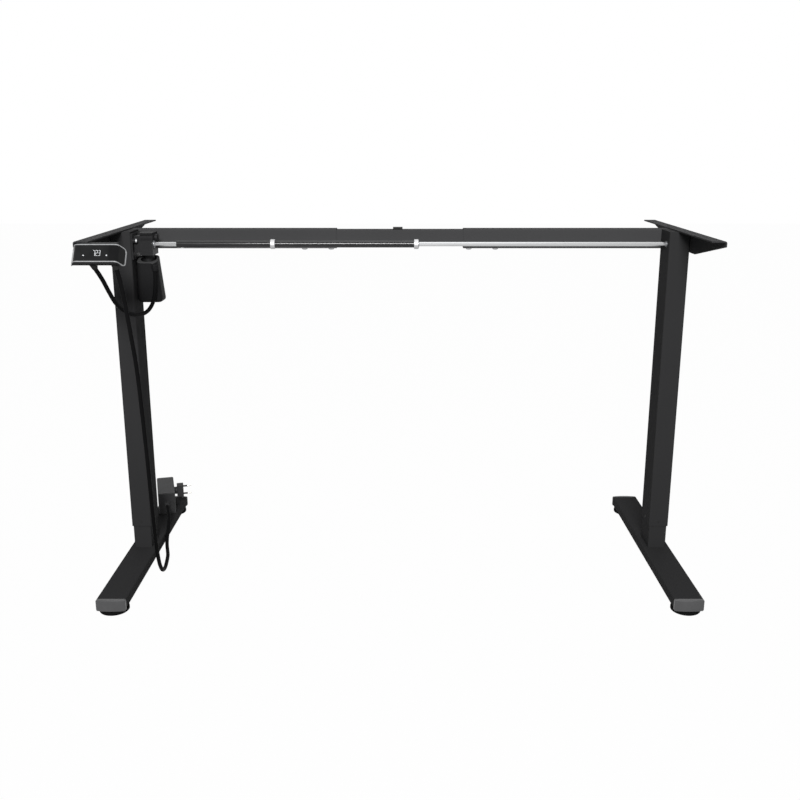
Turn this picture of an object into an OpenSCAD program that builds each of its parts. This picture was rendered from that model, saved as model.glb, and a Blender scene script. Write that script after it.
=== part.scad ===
// Height-adjustable desk frame with one motor: two telescopic columns on long
// feet, a telescopic crossbar, a hex drive line under it and two desktop brackets.
// Origin: on the floor, midway between the columns. X runs along the crossbar,
// -Y is the user's side, Z is up. The frame is drawn at its lowest setting.

/* [Frame] */
// Height of the desktop seats above the floor, at the lowest setting
frame_h = 723.2; // [700:0.2:760]
// Distance between the centres of the two columns
column_spacing = 1132.6; // [1100:0.2:1160]
// Vertical travel of both columns
travel = 450; // [300:10:460]
// Width that each half of the crossbar can be pushed in
width_in = 80; // [40:5:90]
// Width that each half of the crossbar can be pulled out
width_out = 100; // [60:5:120]

/* [Columns] */
// Width of the outer tube across X
column_w = 42; // [40:0.5:48]
// Depth of the outer tube along Y
column_d = 66.6; // [62:0.2:72]
// Wall of the outer tube
column_wall = 1.5; // [1.2:0.1:2]
// Corner radius of the outer tube
column_r = 3; // [2:0.5:4]
// Step between the faces of the outer and inner tube
tube_step = 2.1; // [1.9:0.1:2.6]
// Wall of the inner tube
inner_wall = 1.5; // [1.2:0.1:2]
// Length of inner tube that shows below the outer tube
inner_show = 50.9; // [40:0.1:60]
// Length of the slide bushes
bush_len = 45; // [35:1:55]
// Diameter of the lead screw
screw_d = 16; // [14:0.5:18]

/* [Feet] */
// Length of a foot, caps included
foot_len = 573; // [540:1:620]
// Width of a foot
foot_w = 58.4; // [54:0.2:66]
// Height of the foot beam
foot_h = 21; // [19:0.5:26]
// Wall of the foot beam
foot_wall = 1.5; // [1.2:0.1:2]
// Length of the end cap that shows
cap_show = 9; // [7:0.5:12]
// Distance from the end of a foot to the middle of a glide
glide_inset = 27; // [26:0.5:36]
// Diameter of a glide
glide_d = 58; // [45:1:60]
// Thickness of a glide's pad
glide_h = 7.8; // [6:0.2:8]

/* [Crossbar] */
// Height of the outer rails
rail_h = 40; // [38:0.5:44]
// Depth of the outer rails
rail_d = 32; // [28:0.5:36]
// Wall of the rails
rail_wall = 1.8; // [1.5:0.1:2.2]
// Half of the gap between the two outer rails
rail_gap_half = 133; // [125:1:150]
// Length of the centre rail
centre_len = 620; // [600:5:640]
// Height of the centre rail
centre_h = 33.5; // [32:0.1:34]

/* [Brackets] */
// Length of a desktop bracket
bracket_len = 494; // [460:2:520]
// Width of the seat of a bracket
bracket_w = 28; // [26:0.5:32]
// Sheet thickness of a bracket
bracket_t = 2.5; // [2:0.1:2.5]
// Depth of the bracket's side at the column
bracket_drop = 43.6; // [40:0.2:50]
// Depth of the bracket's side at its ends
bracket_tip = 10.7; // [8:0.1:14]
// Diameter of the holes for the desktop screws
desk_hole_d = 6.4; // [5:0.1:8]
// Distance between the inner pair of desktop holes
desk_pitch_in = 182; // [160:1:200]
// Distance between the outer pair of desktop holes
desk_pitch_out = 450; // [420:1:456]

/* [Drive line] */
// Drop of the drive line below the top of the columns
drive_drop = 26.6; // [25:0.1:28]
// Distance of the drive line in front of the column centres
drive_front = 11; // [9:0.5:12]
// Size of the hex rods across the flats
hex_af = 7.4; // [7:0.1:8.4]
// Diameter of the drive tube
tube_d = 14; // [13:0.5:16]
// Bore of the drive tube
tube_bore = 10; // [9.8:0.1:11]
// Diameter of the shaft collars
collar_d = 19.8; // [18:0.2:24]
// Width of the shaft collars
collar_w = 9.4; // [8:0.2:13]

/* [Motor] */
// Width of the motor cover across X, at its widest
motor_w = 51.5; // [50:0.1:54]
// Depth of the motor cover along Y, at its widest
motor_d = 47.4; // [47:0.1:52]
// Length of the motor cover
motor_len = 94.3; // [92:0.1:104]
// Width of the gearbox across X
gear_w = 26; // [25:0.5:27]

/* [Handset] */
// Width of the flat front panel
panel_w = 77; // [70:0.2:84]
// Height of the front panel along its slope
panel_h = 35.6; // [32:0.2:40]
// Lean of the front panel from upright
panel_lean = 34.2; // [25:0.1:40]
// Depth of the handset square to its panel
handset_depth = 22; // [20:0.5:26]

/* [Power supply] */
// Width of the power supply
supply_w = 40; // [34:0.5:46]
// Length of the power supply
supply_len = 118; // [100:1:130]
// Height of the power supply
supply_h = 53.5; // [46:0.5:60]
// Diameter of the cables
cable_d = 8; // [5:0.1:8.4]

/* [Hidden] */
$fn = 48;

// Shared clearances and overruns
cut = 1;            // overrun of a cut beyond the face it opens
seat_gap = 0.1;     // between parts that are seated flat
slide_gap = 0.12;   // between a bush and the tube that slides in it
thread_gap = 0.05;  // radial, between a screw and its thread
running_gap = 0.05; // radial, between a journal and its bore
mesh_gap = 0.15;    // between the pitch cones of a bevel pair
corner_steps = 5;   // straight steps in a rounded corner

// Levels and places that follow from the sizes above
column_top = frame_h - bracket_t;
column_x = column_spacing / 2;
foot_gap = 11;                       // floor to the underside of the foot beam
foot_top = foot_gap + foot_h;
column_foot = foot_top + inner_show;
inner_w = column_w - 2 * tube_step;
inner_d = column_d - 2 * tube_step;
inner_r = column_r - column_wall / 2;
bush_t = tube_step - column_wall - slide_gap;
cavity_w = column_w - 2 * column_wall;
cavity_d = column_d - 2 * column_wall;
drive_z = column_top - drive_drop;
drive_y = -drive_front;

// Bevel pairs at the head of each column
bevel_r = 12;          // pitch radius at the large end
bevel_small_r = 6;     // pitch radius at the small end
pinion_hub_d = 12;
pinion_hub_proud = 1.5;
hex_corner = hex_af / cos(30);
hex_fit = 0.05;        // clearance over the flats of a hex bore
hex_end_gap = 3;       // hex end to the axis of the lead screw

// Head casting, a block in the top of each column that carries both shafts
casting_up = 16;
casting_down = 33;
casting_floor_gap = 1.5;   // gear to the floor of its pocket
pocket_r = 14;             // half the pocket along Y
pocket_w = 30;
journal_d = 12;
spigot_d = 10;
thrust_d = 20;
thrust_h = 4;
thrust_gap = 0.3;
casting_bottom = drive_z - casting_down;
casting_top = drive_z + casting_up;

// Inner tube, nut and bushes
inner_head_gap = 10;       // top of the inner tube to the head casting
inner_top = casting_bottom - inner_head_gap;
inner_len = inner_top - foot_top;
nut_h = 30;
nut_step_h = 3;
screw_spare = 10;          // screw that stays below the nut at full height
screw_bottom = inner_top - travel - nut_h - screw_spare;
bush_cap_t = 2.5;
column_cap_t = 2;          // plate welded into the top of the column
bush_pin_d = 5;
bush_pin_rise = 10;
bush_pin_proud = 0.2;
base_plate_t = 6;

// Screws: button heads, drawn as a disc with a domed top
m6_d = 6;
m6_head_d = 12.5;
m6_head_h = 4.4;
m6_socket_af = 4;
m6_socket_depth = 2;
m6_hole_d = 6.6;
bracket_screw_pitch = 36;
bracket_screw_drop = 22;   // below the top of the column
bracket_screw_len = 8;
clamp_screw_x = [145, 201];
clamp_screw_play = 0.2;    // tip of a clamp screw to the centre rail
foot_bolt_d = 8;
foot_bolt_head_d = 14;
foot_bolt_head_h = 3.6;
foot_bolt_pitch = 36;
foot_bolt_hole_d = 8.4;
glide_stud_d = 8;
glide_stud_len = 19;       // above the hub
glide_hub_d = 22;
glide_hub_gap = 0.4;       // hub to the underside of the beam
glide_hole_d = 9;
glide_lip = 1.5;

// Crossbar places
rail_front = column_d / 2;
rail_y = rail_front + rail_d / 2;
rail_end_x = column_x + column_w / 2 - seat_gap;
rail_r = 2.5;
rail_slide_gap = 0.2;
centre_d = rail_d - 2 * rail_wall - 2 * rail_slide_gap;
centre_top = column_top - rail_wall - seat_gap;
pad_len = 20;
pad_x = -4.7;
pad_w = 24;
pad_drop = 0.2;            // top of the pad below the desktop seats

// Bracket outline
bracket_x = column_x + column_w / 2 + bracket_t - bracket_w;
bracket_flat_half = 66;    // half the length at full depth
bracket_bend_r = 4;
bracket_corner_r = 6;
desk_hole_x = bracket_x + bracket_w / 2;

// Foot details
glide_pitch = foot_len - 2 * glide_inset;
foot_r = 3;
cap_bulge_r = 110;
cap_chamfer = 1.6;
cap_drop = 2.6;            // front of the cap below the beam
cap_plug_len = 46;
cap_plug_gap = 0.15;
cap_pocket_wall = 3;
stud_boss_d = 20;

// Drive line places
tube_left = -457;
tube_right = 39;
stub_in_tube = 27;
rod_in_tube = 219;
collar_x = [-265.1, 28.7];
set_screw_d = 5;
set_screw_inset = 10;
set_screw_head_d = 7;
set_screw_head_h = 1.4;

// Worm gearbox beside the left column
gear_x = -516.5;
motor_x = -521;
wheel_r = 12;
wheel_w = 10;
worm_r = 5.5;
worm_len = 26;
worm_gap = 0.2;
wheel_gap = 1.25;
wheel_hub_d = 16;
wheel_hub_proud = 1.2;
motor_y = drive_y + wheel_r + worm_r + worm_gap;
gear_front = 15;           // drive line to the front face of the gearbox
gear_back = 31;            // drive line to its back face
gear_down = 21.5;
gear_shoulder = 7.6;       // drive line up to the ledge of the front
gear_ledge = 2;            // depth of that ledge
gear_bevel = 4.5;          // bevel above the ledge
gear_up = 20;
gear_lid_t = 3.5;
gear_lid_over = 2.5;
gear_boss_d = 14;
gear_boss_proud = 5.5;
gear_boss_back = 11;       // behind the drive line
gear_boss_rise = 12.5;
neck_r = 12;
neck_flange_r = 14;
neck_flange_h = 3;
flange_t = 3;
flange_half = 30.5;
flange_down = 29.5;
flange_up = 22.5;
flange_hole_d = 14;
saddle_down = 15;
saddle_up = 17;
saddle_front = 8.6;
saddle_back = 26;
gear_screw_d = 5;
gear_screw_head_d = 8.5;
gear_screw_head_h = 3;
gear_screw_len = 14;
gear_screw_y = 25.5;
gear_screw_z = [8, -16.5];   // up from the drive line
gear_screws = [[-gear_screw_y, gear_screw_z[0]], [gear_screw_y, gear_screw_z[0]],
    [gear_screw_y, gear_screw_z[1]]];
gear_ear_d = 9.5;
gear_ear_len = 6;

// Motor
motor_top = drive_z - 25.8;      // back edge of the cover, its top slopes down to the front
motor_bottom = motor_top - motor_len;
motor_side_gap = 0.5;      // cover to the column, at the widest
motor_corner_r = 9;
motor_top_r = 17;          // the same corners at the top
motor_taper_left = 1.5;    // narrowing from the bottom to the top, side by side
motor_taper_right = 8.3;
motor_taper_d = 3.1;
motor_slope = 16;          // of the cover's top, in degrees
motor_well_r = 16.5;       // round opening in the top
motor_round = 11;          // height and inset of its rounded bottom edge
motor_round_in = 8;
motor_wall = 1.6;
case_r = 18.5;
case_wall = 1.5;
case_len = 70;
case_drop = 13.5;
case_top = motor_top - case_drop;
rotor_r = 14;
rotor_len = 48;
rotor_drop = 20;
shaft_d = 8;
socket_turn = -56;         // direction of the cable socket round the motor
socket_w = 9;
socket_reach = 27.2;
socket_h = 11;
socket_drop = 12.7;
plug_w = 9;
plug_len = 13;
plug_drop = 14.7;

// Handset
handset_x = -542.4;
handset_y = -262;
handset_z = column_top - 0.8;
wing_out = 10.2;
wing_angle = atan2(handset_depth, wing_out);
wing_bend_r = 8;
wing_r = 8;                // corners of the wings, seen from the side
wing_over = 1.1;           // length of the raw wing to its trimmed length, a ratio
panel_t = 1.5;
trim_w = 2;
trim_proud = 0.5;
chin = 3.4;                // housing below the trim, along the slope
handset_floor = 36;        // below the top edge of the panel
flange_x = [-572, -508];
flange_back = 22;
flange_plate_t = 2.5;
slot_x = -537.6;
slot_pitch = 36;
slot_d = 4.5;
slot_y = -252;
slot_way_d = 7;            // way for the screw heads, from below
slot_seat = 4.5;           // thickness left under the screw heads
shell_t = 2.5;
board_t = 1.6;
board_depth = 6;
boot_r = 6.8;
boot_tip_r = 5;
boot_len = 8.5;
boot_places = [[-547.5, -270.5], [-509, -270.8]];
boot_leans = [[40, 0], [6, -12]];

// Power supply, standing on the back of the left foot
supply_x = -573.3;
supply_y = 217.9;
supply_turn = 15;
supply_r = 4;
gland_rise = 29;
gland_d = 13;
gland_h = 3;
relief_r = 5.6;
relief_tip_r = 4.6;
relief_len = 20;
plug_neck_d = 18;
plug_neck_len = 6.4;
plug_body_len = 15.4;
plug_body_w = 15;
plug_body_h = 34;
plug_rise = 38;
pin_d = 4;
pin_len = 19;
pin_pitch = 19;

// Routes of the two cables, point by point
motor_route = [
    [-547.4, -264.9, 677.1], [-546.5, -259.6, 671.5], [-545, -252.6, 664.6],
    [-542.4, -239, 649.8], [-539, -220, 626.5], [-535.1, -197, 602.5], [-529.2, -163.5, 581.8],
    [-521.4, -118.5, 566.6], [-513.6, -73.5, 563.6], [-508.2, -43.5, 573.4],
    [-505.3, -28, 591], [-503.9, -21.4, 611], [-503.3, -19.9, 628], [-503.27, -19.6, 640.4]
];
power_route = [
    [-507.2, -269.9, 675.4], [-505.8, -269.5, 668.6], [-503.2, -269.2, 656],
    [-499.8, -268.5, 633], [-497.2, -267, 608], [-494.8, -264.5, 578], [-492.3, -261, 545],
    [-489, -254, 487], [-487.5, -245, 400], [-488.5, -230, 304], [-492, -210, 214],
    [-496.5, -186, 137], [-501, -161, 80], [-504.5, -136, 40], [-507, -109, 14.8],
    [-509.5, -79, 5.2], [-513.5, -45, 4.3], [-519, -12, 4.3], [-525, 11, 5.6],
    [-530, 29, 12], [-532.4, 44.5, 23], [-532.8, 58.5, 34.5], [-534.5, 74, 45],
    [-538.5, 94, 54], [-544, 112.5, 59.5], [-549.5, 129.2, 61], [-552.1, 138.6, 61]
];

// Corner arcs: points from angle a to b round a centre
function arc(c, r, a, b, n) =
    [for (i = [0:n]) c + r * [cos(a + (b - a) * i / n), sin(a + (b - a) * i / n)]];

// Rounded rectangle centred on the origin
function round_rect(w, d, r) = concat(
    arc([w / 2 - r, d / 2 - r], r, 0, 90, corner_steps),
    arc([-w / 2 + r, d / 2 - r], r, 90, 180, corner_steps),
    arc([-w / 2 + r, -d / 2 + r], r, 180, 270, corner_steps),
    arc([w / 2 - r, -d / 2 + r], r, 270, 360, corner_steps));

module bar(w, d, r, h) {
    linear_extrude(h) polygon(round_rect(w, d, r));
}

module tube(w, d, r, wall, h) {
    difference() {
        bar(w, d, r, h);
        translate([0, 0, -cut])
            bar(w - 2 * wall, d - 2 * wall, max(r - wall, wall / 2), h + 2 * cut);
    }
}

// Draws the right-hand part, or its mirror image on the left
module on_side(side) {
    mirror([side < 0 ? 1 : 0, 0, 0]) children();
}

// A cylinder along +X from its start
module rod_x(d, len) {
    rotate([0, 90, 0]) cylinder(d = d, h = len);
}

// A hex bar along +X, a corner on top
module hex_x(across, len) {
    rotate([0, 90, 0]) cylinder(d = across / cos(30), h = len, $fn = 6);
}

// A button-head screw whose head sits on the origin and points up, shank down
module button_screw(d, head_d, head_h, len, socket_af, socket_depth) {
    rim_h = head_h / 3;
    difference() {
        union() {
            translate([0, 0, -len]) cylinder(d = d, h = len + rim_h);
            rotate_extrude()
                polygon(concat([[0, 0], [head_d / 2, 0], [head_d / 2, rim_h]],
                    [for (a = [15:15:75]) [head_d / 2 * cos(a) + d / 4 * (1 - cos(a)),
                        rim_h + (head_h - rim_h) * sin(a)]],
                    [[0, head_h]]));
        }
        translate([0, 0, head_h - socket_depth])
            cylinder(d = socket_af / cos(30), h = socket_depth + cut, $fn = 6);
    }
}

// Crossbar
module centre_rail() {
    color("#2f2f31")
    translate([-centre_len / 2, rail_y, centre_top - centre_h / 2])
        rotate([90, 0, 90]) tube(centre_d, centre_h, rail_r - rail_wall / 2, rail_wall, centre_len);
}

module rail_pad() {
    color("#1b1b1c")
    translate([pad_x, rail_y, centre_top])
        bar(pad_len, pad_w, rail_r, frame_h - pad_drop - centre_top);
}

module rail(side) {
    color("#303032") on_side(side)
    difference() {
        translate([rail_gap_half, rail_y, column_top - rail_h / 2])
            rotate([90, 0, 90])
                tube(rail_d, rail_h, rail_r, rail_wall, rail_end_x - rail_gap_half);
        for (x = clamp_screw_x)
            translate([x, rail_y, column_top - rail_h - cut])
                cylinder(d = m6_d + 2 * thread_gap, h = rail_wall + 2 * cut);
    }
}

module clamp_screws(side) {
    clamp_len = rail_h - rail_wall - seat_gap - centre_h - clamp_screw_play;
    color("#8d8f92") on_side(side)
    for (x = clamp_screw_x)
        translate([x, rail_y, column_top - rail_h]) rotate([180, 0, 0])
            button_screw(m6_d, m6_head_d, m6_head_h, clamp_len, m6_socket_af, m6_socket_depth);
}

// Columns
module column(side) {
    color("#262627") on_side(side)
    difference() {
        union() {
            translate([column_x, 0, column_foot])
                tube(column_w, column_d, column_r, column_wall, column_top - column_foot);
            translate([column_x, 0, column_top - column_cap_t])
                bar(column_w - column_wall, column_d - column_wall, inner_r, column_cap_t);
        }
        translate([column_x - column_w / 2 - cut, drive_y, drive_z])
            rod_x(wheel_hub_d, column_wall + 2 * cut);
        for (y = [-1, 1])
            translate([column_x + column_w / 2 - column_wall - cut,
                    y * bracket_screw_pitch / 2, column_top - bracket_screw_drop])
                rod_x(m6_hole_d, column_wall + 2 * cut);
        translate([column_x, 0, column_foot + bush_pin_rise]) bush_pins(cut, bush_pin_d);
        if (side < 0)
            for (p = gear_screws)
                translate([column_x - column_w / 2 - cut, p[0], drive_z + p[1]])
                    rod_x(gear_screw_d + 2 * thread_gap, column_wall + 2 * cut);
    }
}

// Four round pins through the walls of the outer tube
module bush_pins(proud, d) {
    pin_in = bush_t / 2 + column_wall;
    for (s = [-1, 1]) {
        translate([s > 0 ? column_w / 2 - pin_in : -column_w / 2 - proud, 0, 0])
            rod_x(d, pin_in + proud);
        translate([0, s > 0 ? column_d / 2 + proud : -column_d / 2 + pin_in, 0])
            rotate([90, 0, 0]) cylinder(d = d, h = pin_in + proud);
    }
}

module lower_bush(side) {
    color("#101010") on_side(side)
    translate([column_x, 0, column_foot]) {
        tube(cavity_w, cavity_d, inner_r, bush_t, bush_len);
        translate([0, 0, bush_pin_rise]) bush_pins(bush_pin_proud, bush_pin_d - 2 * thread_gap);
    }
}

module upper_bush(side) {
    over_w = cavity_w - 2 * slide_gap;
    over_d = cavity_d - 2 * slide_gap;
    color("#161616") on_side(side)
    translate([column_x, 0, inner_top])
    difference() {
        translate([0, 0, -bush_len]) bar(over_w, over_d, inner_r, bush_len + bush_cap_t);
        translate([0, 0, -bush_len - cut]) bar(inner_w, inner_d, inner_r, bush_len + cut);
        translate([0, drive_y, -cut]) cylinder(d = screw_d + thrust_h, h = bush_cap_t + 2 * cut);
    }
}

module head_casting(side) {
    color("#6e7073") on_side(side)
    difference() {
        translate([column_x, 0, casting_bottom])
            bar(cavity_w - 2 * seat_gap, cavity_d - 2 * seat_gap, inner_r, casting_top - casting_bottom);
        // pocket for the bevel pair
        translate([column_x - pocket_w / 2, drive_y - pocket_r,
                drive_z - bevel_r - casting_floor_gap])
            cube([pocket_w, 2 * pocket_r, casting_down + casting_up]);
        // journals of the lead screw and the pinion
        translate([column_x, drive_y, casting_bottom - cut])
            cylinder(d = journal_d + 2 * running_gap, h = casting_down);
        translate([column_x - column_w / 2, drive_y, drive_z])
            rod_x(pinion_hub_d + 2 * running_gap, column_w / 2);
        for (y = [-1, 1])
            translate([column_x + cavity_w / 2 - bracket_screw_len,
                    y * bracket_screw_pitch / 2, column_top - bracket_screw_drop])
                rod_x(m6_d + 2 * thread_gap, bracket_screw_len + cut);
        if (side < 0)
            for (p = gear_screws)
                translate([column_x - cavity_w / 2 - cut, p[0], drive_z + p[1]])
                    rod_x(gear_screw_d + 2 * thread_gap, gear_screw_len);
    }
}

module lead_screw(side) {
    color("#a9abae") on_side(side)
    translate([column_x, drive_y, 0]) {
        translate([0, 0, screw_bottom])
            cylinder(d = screw_d, h = casting_bottom - thrust_gap - thrust_h - screw_bottom);
        translate([0, 0, casting_bottom - thrust_gap - thrust_h])
            cylinder(d = thrust_d, h = thrust_h);
        translate([0, 0, casting_bottom - thrust_gap - thrust_h])
            cylinder(d = journal_d,
                h = drive_z - bevel_r - casting_bottom + thrust_gap + thrust_h - mesh_gap);
        translate([0, 0, drive_z - bevel_r - thrust_h])
            cylinder(d = spigot_d, h = bevel_r - bevel_small_r + thrust_h);
    }
}

// Toothless bevel blank: apex at the origin, large end towards -Z
module bevel_blank() {
    translate([0, 0, -bevel_r])
        cylinder(r1 = bevel_r - mesh_gap, r2 = bevel_small_r - mesh_gap,
            h = bevel_r - bevel_small_r);
}

module bevel_gear(side) {
    color("#8a8c8f") on_side(side)
    translate([column_x, drive_y, drive_z])
    difference() {
        bevel_blank();
        translate([0, 0, -bevel_r - cut])
            cylinder(d = spigot_d + 2 * thread_gap, h = bevel_r);
    }
}

module bevel_pinion(side) {
    hub_len = column_w / 2 - bevel_r + pinion_hub_proud;
    color("#8a8c8f") on_side(side)
    translate([column_x, drive_y, drive_z])
    difference() {
        union() {
            rotate([0, 90, 0]) bevel_blank();
            translate([-bevel_r - hub_len, 0, 0]) rod_x(pinion_hub_d, hub_len + mesh_gap);
        }
        translate([-column_w, 0, 0]) hex_x(hex_af + 2 * hex_fit, column_w);
    }
}

module inner_tube(side) {
    color("#1f1f20") on_side(side)
    translate([column_x, 0, foot_top]) {
        tube(inner_w, inner_d, inner_r, inner_wall, inner_len);
        difference() {
            bar(inner_w - inner_wall, inner_d - inner_wall, inner_r, base_plate_t);
            for (y = [-1, 1])
                translate([0, y * foot_bolt_pitch / 2, -cut])
                    cylinder(d = foot_bolt_d + 2 * thread_gap, h = base_plate_t + 2 * cut);
        }
    }
}

module screw_nut(side) {
    color("#d8d4c4") on_side(side)
    translate([column_x, 0, inner_top])
    difference() {
        translate([0, 0, -nut_h])
            bar(inner_w - 2 * inner_wall - 2 * seat_gap, inner_d - 2 * inner_wall - 2 * seat_gap,
                inner_r, nut_h);
        translate([0, drive_y, -nut_h - cut])
            cylinder(d = screw_d + 2 * running_gap, h = nut_h + 2 * cut);
    }
}

// Feet
module foot_beam(side) {
    beam_len = foot_len - 2 * cap_show;
    color("#2c2c2d") on_side(side)
    difference() {
        translate([column_x, beam_len / 2, foot_gap + foot_h / 2])
            rotate([90, 0, 0]) tube(foot_w, foot_h, foot_r, foot_wall, beam_len);
        for (y = [-1, 1]) {
            translate([column_x, y * foot_bolt_pitch / 2, foot_gap - cut])
                cylinder(d = foot_bolt_hole_d, h = foot_h + 2 * cut);
            translate([column_x, y * glide_pitch / 2, foot_gap - cut])
                cylinder(d = glide_hole_d, h = foot_wall + 2 * cut);
        }
    }
}

// One cap at the +Y end of the beam, its plug inside the tube
module foot_cap() {
    plug_w2 = foot_w - 2 * foot_wall - 2 * cap_plug_gap;
    plug_h2 = foot_h - 2 * foot_wall - 2 * cap_plug_gap;
    cap_y = foot_len / 2 - cap_show;
    translate([column_x, 0, foot_gap])
    difference() {
        union() {
            // bulged face with a bevelled rim
            intersection() {
                translate([0, cap_y + cap_show, (foot_h - cap_drop) / 2]) rotate([90, 0, 0])
                    bar(foot_w, foot_h + cap_drop, foot_r, cap_show);
                translate([0, foot_len / 2 - cap_bulge_r, 0]) rotate_extrude($fn = 160)
                    polygon([[0, -cap_drop], [cap_bulge_r - cap_chamfer / 4, -cap_drop],
                        [cap_bulge_r, cap_chamfer / 4 - cap_drop],
                        [cap_bulge_r, foot_h - cap_chamfer],
                        [cap_bulge_r - cap_chamfer, foot_h], [0, foot_h]]);
            }
            translate([0, cap_y, foot_h / 2]) rotate([90, 0, 0])
                bar(plug_w2, plug_h2, foot_r - foot_wall / 2, cap_plug_len);
        }
        // pockets either side of the threaded boss
        for (s = [-1, 1])
            translate([s * (stud_boss_d / 2 + plug_w2 / 2 - cap_pocket_wall) / 2,
                    cap_y - cap_plug_len / 2 - cut, foot_h / 2])
                cube([plug_w2 / 2 - cap_pocket_wall - stud_boss_d / 2, cap_plug_len,
                    plug_h2 - 2 * cap_pocket_wall], center = true);
        translate([0, glide_pitch / 2, -cut])
            cylinder(d = glide_stud_d + 2 * thread_gap, h = foot_wall + glide_stud_len + 2 * cut);
    }
}

module foot_caps(side) {
    color("#232324") on_side(side)
    for (turn = [0, 1])
        mirror([0, turn, 0]) foot_cap();
}

module foot_bolts(side) {
    color("#2a2a2a") on_side(side)
    for (y = [-1, 1])
        translate([column_x, y * foot_bolt_pitch / 2, foot_gap]) rotate([180, 0, 0])
            button_screw(foot_bolt_d, foot_bolt_head_d, foot_bolt_head_h,
                foot_h + base_plate_t, m6_socket_af, m6_socket_depth);
}

module glide(side, end) {
    color("#161616") on_side(side)
    translate([column_x, end * glide_pitch / 2, 0]) {
        rotate_extrude($fn = 72)
            polygon([[0, 0], [glide_d / 2 - glide_lip, 0], [glide_d / 2, glide_lip],
                [glide_d / 2, glide_h - glide_lip], [glide_d / 2 - glide_lip, glide_h],
                [0, glide_h]]);
        cylinder(d = glide_hub_d, h = foot_gap - glide_hub_gap);
        cylinder(d = glide_stud_d, h = foot_gap - glide_hub_gap + glide_stud_len);
    }
}

// Desktop brackets, folded from sheet
module bracket(side) {
    outer_x = bracket_x + bracket_w;
    seat_z = column_top + bracket_t;
    low_z = seat_z - bracket_drop;
    tip_z = seat_z - bracket_tip;
    half = bracket_len / 2;
    slope = atan2(bracket_drop - bracket_tip, half - bracket_flat_half);
    color("#3a3a3c") on_side(side)
    difference() {
        intersection() {
            // L section along Y
            rotate([90, 0, 0]) translate([0, 0, -half])
                linear_extrude(bracket_len)
                    polygon(concat(
                        [[bracket_x, seat_z]],
                        [for (a = [90:-15:0]) [outer_x - bracket_bend_r + bracket_bend_r * cos(a),
                            seat_z - bracket_bend_r + bracket_bend_r * sin(a)]],
                        [[outer_x, low_z], [outer_x - bracket_t, low_z],
                            [outer_x - bracket_t, seat_z - bracket_t],
                            [bracket_x, seat_z - bracket_t]]));
            // side outline along X
            rotate([90, 0, 90])
                linear_extrude(outer_x + cut)
                    polygon(concat(
                        [[-half, seat_z + cut], [-half, tip_z]],
                        arc([-bracket_flat_half, low_z + bracket_corner_r], bracket_corner_r,
                            270 - slope, 270, corner_steps),
                        arc([bracket_flat_half, low_z + bracket_corner_r], bracket_corner_r,
                            270, 270 + slope, corner_steps),
                        [[half, tip_z], [half, seat_z + cut]]));
        }
        for (p = [desk_pitch_in, desk_pitch_out], s = [-1, 1])
            translate([desk_hole_x, s * p / 2, column_top - cut])
                cylinder(d = desk_hole_d, h = bracket_t + 2 * cut);
        for (y = [-1, 1])
            translate([outer_x - bracket_t - cut, y * bracket_screw_pitch / 2,
                    column_top - bracket_screw_drop])
                rod_x(m6_hole_d, bracket_t + 2 * cut);
    }
}

module bracket_screws(side) {
    color("#252526") on_side(side)
    for (y = [-1, 1])
        translate([column_x + column_w / 2 + bracket_t, y * bracket_screw_pitch / 2,
                column_top - bracket_screw_drop])
            rotate([0, 90, 0])
                button_screw(m6_d, m6_head_d, m6_head_h, bracket_screw_len,
                    m6_socket_af, m6_socket_depth);
}

// Drive line
module hex_stub() {
    start = -column_x + hex_end_gap;
    color("#c9ccd0")
    translate([start, drive_y, drive_z]) hex_x(hex_af, tube_left + stub_in_tube - start);
}

module hex_rod() {
    start = tube_right - rod_in_tube;
    color("#c9ccd0")
    translate([start, drive_y, drive_z]) hex_x(hex_af, column_x - hex_end_gap - start);
}

module drive_tube() {
    color("#1a1a1b")
    translate([tube_left, drive_y, drive_z])
    difference() {
        rod_x(tube_d, tube_right - tube_left);
        translate([-cut, 0, 0]) rod_x(tube_bore, tube_right - tube_left + 2 * cut);
        translate([set_screw_inset, 0, -tube_d])
            cylinder(d = set_screw_d + 2 * thread_gap, h = tube_d);
    }
}

module tube_set_screw() {
    color("#b9bbbe")
    translate([tube_left + set_screw_inset, drive_y, drive_z - tube_d / 2])
    rotate([180, 0, 0])
        button_screw(set_screw_d, set_screw_head_d, set_screw_head_h,
            (tube_d - hex_corner) / 2 - seat_gap, set_screw_d / 2, set_screw_head_h / 2);
}

module tube_collars() {
    color("#e3e4e6")
    for (x = collar_x)
        translate([x, drive_y, drive_z])
        difference() {
            rod_x(collar_d, collar_w);
            translate([-cut, 0, 0]) rod_x(tube_d + 2 * thread_gap, collar_w + 2 * cut);
        }
}

// Worm gearbox
module worm_wheel() {
    hub_start = gear_x - gear_w / 2;
    color("#8f9194")
    difference() {
        union() {
            translate([motor_x - wheel_w / 2, drive_y, drive_z]) rod_x(2 * wheel_r, wheel_w);
            translate([hub_start, drive_y, drive_z]) rod_x(wheel_hub_d, gear_w + wheel_hub_proud);
        }
        translate([hub_start - cut, drive_y, drive_z])
            hex_x(hex_af + 2 * hex_fit, gear_w + wheel_hub_proud + 2 * cut);
    }
}

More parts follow.
